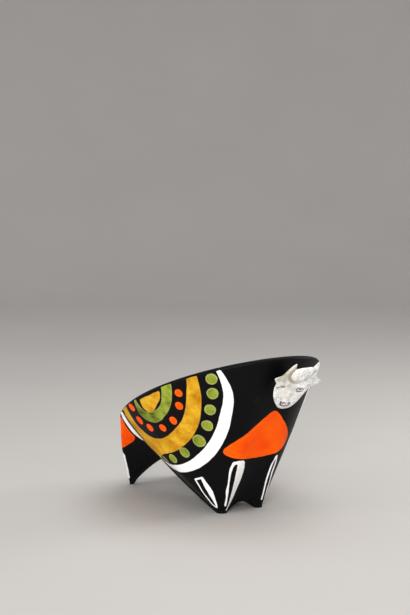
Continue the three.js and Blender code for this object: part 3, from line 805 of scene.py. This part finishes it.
# The first colour where the mask is 0, and the second where it is 1. A Mix node's colours are at 6 and 7.
def mixColour(tree, mask, first, second):
    node = tree.nodes.new("ShaderNodeMix")
    node.data_type = "RGBA"
    for index, value in ((0, mask), (6, first), (7, second)):
        feed(tree, node.inputs[index], value)
    return node.outputs[2]


# The place on the piece, in metres.
def placeNode(tree):
    return tree.nodes.new("ShaderNodeTexCoord").outputs["Object"]


# Noise over the places given.
def noiseNode(tree, place, scale, detail, roughness):
    node = tree.nodes.new("ShaderNodeTexNoise")
    for name, value in (("Vector", place), ("Scale", scale), ("Detail", detail), ("Roughness", roughness)):
        feed(tree, node.inputs[name], value)
    return node.outputs[0]


# A value stored on the mesh.
def storedNode(tree, name):
    node = tree.nodes.new("ShaderNodeAttribute")
    node.attribute_name = name
    return node.outputs["Fac"]


# How paint is brushed: the detail and roughness of its edge's noise, the scale, detail and roughness of
# its mottling and of its streaks, which are drawn out one way, and how fast its rim fades for each mm.
brush = {
    "edge": (5, 0.62), "mottle": (60, 5, 0.65), "streak": (1, 3, 0.5),
    "streakStretch": (90, 90, 900), "streakTurn": (0.5, 0.3, 0.0), "rimPace": 0.75,
}


# Brushed paint as a group: the mask is a half less the distance, moved by noise, over the softness. It also
# gives mottling, streaks, and a rim that fades in from the edge.
def brushedPaintGroup():
    tree = bpy.data.node_groups.new("brushedPaint", "ShaderNodeTree")
    for name, value in (("Distance", 0.0), ("Wander", 0.8), ("Softness", 0.35), ("Scale", 90.0)):
        socket = tree.interface.new_socket(name, in_out="INPUT", socket_type="NodeSocketFloat")
        socket.default_value = value
    for name in ("Mask", "Mottle", "Streak", "Edge"):
        tree.interface.new_socket(name, in_out="OUTPUT", socket_type="NodeSocketFloat")
    given, result = tree.nodes.new("NodeGroupInput"), tree.nodes.new("NodeGroupOutput")
    place = placeNode(tree)
    noise = noiseNode(tree, place, given.outputs["Scale"], *brush["edge"])
    swing = mathNode(tree, "SUBTRACT", mathNode(tree, "MULTIPLY", noise, 2.0), 1.0)
    moved = mathNode(tree, "MULTIPLY_ADD", swing, given.outputs["Wander"], given.outputs["Distance"])
    soft = mathNode(tree, "DIVIDE", moved, given.outputs["Softness"])
    stretch = tree.nodes.new("ShaderNodeMapping")
    stretch.inputs["Scale"].default_value = brush["streakStretch"]
    stretch.inputs["Rotation"].default_value = brush["streakTurn"]
    feed(tree, stretch.inputs["Vector"], place)
    made = {
        "Mask": mathNode(tree, "SUBTRACT", 0.5, soft, clamp=True),
        "Edge": mathNode(tree, "MULTIPLY_ADD", moved, brush["rimPace"], 1.0, clamp=True),
        "Mottle": noiseNode(tree, place, *brush["mottle"]),
        "Streak": noiseNode(tree, stretch.outputs[0], *brush["streak"]),
    }
    for name, value in made.items():
        tree.links.new(value, result.inputs[name])
    return tree


brushedPaint = brushedPaintGroup()
wellInside = -5.0  # the distance, in mm, of a place with paint all round


# One use of the group, on a stored distance or on one that is the same all over. Returns its outputs.
def paintLayer(tree, source, wander, softness=0.35, scale=90.0):
    node = tree.nodes.new("ShaderNodeGroup")
    node.node_tree = brushedPaint
    distance = storedNode(tree, source) if isinstance(source, str) else source
    for name, value in (("Distance", distance), ("Wander", wander), ("Softness", softness), ("Scale", scale)):
        feed(tree, node.inputs[name], value)
    return node.outputs


# Puts colour, roughness and relief on a material's shader, which it returns. The depth is in metres.
def shadeWith(tree, colour, rough, relief, strength, depth):
    shader = tree.nodes["Principled BSDF"]
    bump = tree.nodes.new("ShaderNodeBump")
    for name, value in (("Strength", strength), ("Distance", depth), ("Height", relief)):
        feed(tree, bump.inputs[name], value)
    for name, value in (("Base Color", colour), ("Roughness", rough), ("Normal", bump.outputs[0])):
        feed(tree, shader.inputs[name], value)
    return shader


# The black glaze and the paints on it, in the order in which they are laid: how far a paint's edge
# wavers, and its colour where it is thin, where it is thick and along its rim.
glaze = {
    "black": srgb(9, 9, 11), "worn": srgb(26, 26, 28), "wornFrom": (0.62, 0.8), "specular": 0.08,
    "roughness": 0.42, "mottleRoughness": 0.12, "paintRoughness": 0.08,
    "bumpStrength": 0.6, "bumpDepth": 0.00012, "mottleRelief": 0.5, "paintRelief": 0.75, "streakRelief": 0.5,
    "streakShare": 0.16, "toneFrom": (0.36, 0.64), "rimShare": 0.55,
    # The heights over which the green ring's painted shade runs, and how far it lightens and darkens.
    "greenShadeHeights": (0.092, 0.112), "greenShadeLift": 0.16, "greenShadeDrop": 0.09,
    "paints": {
        "paintYellow": (0.7, srgb(178, 114, 0), srgb(226, 176, 42), srgb(204, 150, 56)),
        "paintGreen": (1.0, srgb(58, 70, 6), srgb(152, 166, 58), srgb(166, 160, 104)),
        "paintDotGreen": (1.3, srgb(100, 116, 16), srgb(162, 170, 66), srgb(204, 206, 140)),
        "paintOrange": (0.9, srgb(250, 72, 0), srgb(255, 98, 0), srgb(255, 102, 16)),
        "paintWhite": (0.6, srgb(240, 239, 238), srgb(255, 255, 255), srgb(250, 250, 250)),
    },
}


# Black glaze, a little paler where it is worn. The painted one mixes in each paint by its mask: a tone of
# mottling and streaks runs from the thin to the thick colour, and the rim's colour comes in at the edge.
def blackGlaze(painted):
    material, tree = newMaterial("paintedBlackGlaze" if painted else "blackGlaze")
    ground = paintLayer(tree, wellInside, 0.0)
    smear = ground["Mottle"]
    colour = mixColour(tree, spread(tree, smear, *glaze["wornFrom"]), glaze["black"], glaze["worn"])
    relief = mathNode(tree, "MULTIPLY", smear, glaze["mottleRelief"])
    rough = mathNode(tree, "MULTIPLY_ADD", smear, glaze["mottleRoughness"], glaze["roughness"])
    if painted:
        # Painted shade: the green ring is paler high up and darker low down, where it faces away from the
        # light, over these heights in metres.
        split = tree.nodes.new("ShaderNodeSeparateXYZ")
        feed(tree, split.inputs[0], placeNode(tree))
        shadeLift = spread(tree, split.outputs["Z"], *glaze["greenShadeHeights"])
        cover = None
        for name, (wander, thin, thick, rim) in glaze["paints"].items():
            layer = paintLayer(tree, name, wander)
            tone = mathNode(tree, "MULTIPLY", layer["Streak"], glaze["streakShare"])
            tone = mathNode(tree, "MULTIPLY_ADD", layer["Mottle"], 1 - glaze["streakShare"], tone)
            if name == "paintGreen":
                tone = mathNode(tree, "MULTIPLY_ADD", shadeLift, glaze["greenShadeLift"], tone)
                tone = mathNode(tree, "SUBTRACT", tone, glaze["greenShadeDrop"])
            laid = mixColour(tree, spread(tree, tone, *glaze["toneFrom"]), thin, thick)
            laid = mixColour(tree, mathNode(tree, "MULTIPLY", layer["Edge"], glaze["rimShare"]), laid, rim)
            mask = layer["Mask"]
            colour = mixColour(tree, mask, colour, laid)
            cover = mask if cover is None else mathNode(tree, "MAXIMUM", cover, mask)
        rough = mathNode(tree, "MULTIPLY_ADD", cover, glaze["paintRoughness"], rough)
        height = mathNode(tree, "MULTIPLY_ADD", ground["Streak"], glaze["streakRelief"], glaze["paintRelief"])
        relief = mathNode(tree, "MULTIPLY_ADD", cover, height, relief)
    shader = shadeWith(tree, colour, rough, relief, glaze["bumpStrength"], glaze["bumpDepth"])
    shader.inputs["Specular IOR Level"].default_value = glaze["specular"]
    return material


# The face's cream glaze: white with grey clouds and warm patches, brown painted shade and washes, pink and
# inked lines.
# Clouds are noise of a scale, detail and roughness, and an edge is its wander, softness and scale.
cream = {
    "light": srgb(246, 246, 245), "shade": srgb(158, 160, 164), "clouds": (330, 6, 0.7),
    "cloudsFrom": (0.42, 0.72),
    "warm": srgb(230, 223, 207), "warmFrom": (0.45, 0.62), "warmth": 0.55,
    # The tan is the colour of the painted shade round the forelock and of the beige washes.
    "tan": srgb(142, 132, 106), "shadeWashStrength": 0.88,
    "blush": srgb(226, 176, 186), "blushEdge": (0.3, 1.2, 300),
    "ink": srgb(40, 42, 44), "inkEdge": (0.28, 0.5, 700), "inkStrength": 0.92,
    "roughness": 0.18, "mottleRoughness": 0.25, "bumpStrength": 0.7, "bumpDepth": 0.00018,
    "coat": 0.5, "coatRoughness": 0.12,
}


# Each colour is mixed over the last by its mask: clouds, warmth, painted shade and washes, blush and ink.
def creamGlaze():
    material, tree = newMaterial("creamGlaze")
    layer = paintLayer(tree, wellInside, 0.0)
    mottle = layer["Mottle"]
    fine = noiseNode(tree, placeNode(tree), *cream["clouds"])
    warm = mathNode(tree, "MULTIPLY", spread(tree, mottle, *cream["warmFrom"]), cream["warmth"])
    # Painted shade: the stored strength darkens the cream towards tan round the forelock and in the face's
    # hollows.
    shadeWash = mathNode(tree, "MULTIPLY", storedNode(tree, "faceShadeWash"), cream["shadeWashStrength"])
    pink = paintLayer(tree, "faceBlush", *cream["blushEdge"])
    ink = paintLayer(tree, "faceInk", *cream["inkEdge"])
    ink = mathNode(tree, "MULTIPLY", ink["Mask"], cream["inkStrength"])
    colour = mixColour(tree, spread(tree, fine, *cream["cloudsFrom"]), cream["light"], cream["shade"])
    for mask, over in ((warm, "warm"), (shadeWash, "tan"), (pink["Mask"], "blush"), (ink, "ink")):
        colour = mixColour(tree, mask, colour, cream[over])
    rough = mathNode(tree, "MULTIPLY_ADD", mottle, cream["mottleRoughness"], cream["roughness"])
    relief = mathNode(tree, "ADD", layer["Streak"], mottle)
    shader = shadeWith(tree, colour, rough, relief, cream["bumpStrength"], cream["bumpDepth"])
    shader.inputs["Coat Weight"].default_value = cream["coat"]
    shader.inputs["Coat Roughness"].default_value = cream["coatRoughness"]
    return material


print("glazing")
vaseBody.data.materials.append(blackGlaze(True))
faceGlaze = creamGlaze()
for piece in facePieces:
    piece.data.materials.append(faceGlaze)
neckPiece.data.materials.append(blackGlaze(False))


# The stage, in metres: a pale floor, flat about the object, then up a quarter circle into an even wall.
stage = {
    "flatRadius": 2.4, "curveRadius": 1.8, "wallHeight": 2.8, "bendRows": 25, "around": 128,
    "light": (0.51, 0.49, 0.465, 1), "dark": (0.47, 0.45, 0.425, 1), "roughness": 0.7, "clouds": (3, 2, 0.5),
    "skyColour": (0.93, 0.94, 0.96, 1), "sky": 0.75,
}


# The floor's profile is turned round the upright axis. The sky is one even colour.
def addStage():
    flat, curve = stage["flatRadius"], stage["curveRadius"]
    bend = np.linspace(0, np.pi / 2, stage["bendRows"])
    radius = np.concatenate([[flat / 2], flat + curve * np.sin(bend), [flat + curve]])
    height = np.concatenate([[0], curve * (1 - np.cos(bend)), [stage["wallHeight"]]])
    turn = fullTurn(stage["around"])
    around = np.stack([np.cos(turn), np.sin(turn), 0 * turn], -1)
    rings = radius[::-1, None, None] * around + height[::-1, None, None] * (0, 0, 1)
    table = meshFromRings("tableTop", rings / mm, lastPole=np.zeros(3))
    material, tree = newMaterial("paleTable")
    clouds = noiseNode(tree, placeNode(tree), *stage["clouds"])
    shader = tree.nodes["Principled BSDF"]
    shader.inputs["Roughness"].default_value = stage["roughness"]
    feed(tree, shader.inputs["Base Color"], mixColour(tree, clouds, stage["dark"], stage["light"]))
    table.data.materials.append(material)
    world = bpy.data.worlds.new("studio")
    bpy.context.scene.world = world
    world.use_nodes = True
    background = world.node_tree.nodes["Background"]
    background.inputs[0].default_value = stage["skyColour"]
    background.inputs[1].default_value = stage["sky"]


# The lights: each one's place and size in metres and its power in watts. All are aimed at one point.
lights = {
    "overhead": ((0.15, 0.25, 1.25), 0.9, 7),
    "key": ((1.75, -1.5, 0.64), 1.0, 41),
    "rimLight": ((0.35, 1.5, 0.7), 0.6, 9),
    "fill": ((-0.6, -1.8, 0.5), 0.8, 10),
}
lightTarget = (0.0, 0.0, 0.09)


# A soft round light that the camera doesn't see.
def addLight(name, place, size, power):
    data = bpy.data.lights.new(name, "AREA")
    data.shape = "DISK"
    data.size = size
    data.energy = power
    light = bpy.data.objects.new(name, data)
    bpy.context.collection.objects.link(light)
    light.location = place
    light.visible_camera = False
    light.rotation_euler = (Vector(lightTarget) - Vector(place)).to_track_quat("-Z", "Y").to_euler()


# The camera: its eye in mm, its turn and pitch in degrees, and its focal length in the picture's pixels.
view = {
    "eye": (1035.38, -689.82, 311.0), "azimuth": 57.0, "pitch": 5.0014, "focalPixels": 1222.5,
    "longSide": 615, "sensor": 36.0, "clipEnd": 100,
}


# The lens follows from the focal length in pixels and the picture's longer side.
def addCamera():
    data = bpy.data.cameras.new("camera")
    data.sensor_fit = "AUTO"
    data.sensor_width = view["sensor"]
    data.lens = view["sensor"] * view["focalPixels"] / view["longSide"]
    data.clip_end = view["clipEnd"]
    bpy.context.scene.view_settings.view_transform = "Standard"
    camera = bpy.data.objects.new("camera", data)
    bpy.context.collection.objects.link(camera)
    x, y, z = view["eye"]
    camera.location = ((x + moveX) * mm, y * mm, z * mm)
    camera.rotation_euler = (math.radians(90 - view["pitch"]), 0, math.radians(view["azimuth"]))
    bpy.context.scene.camera = camera


print("setting the stage, the lights and the camera")
addStage()
for name, light in lights.items():
    addLight(name, *light)
addCamera()
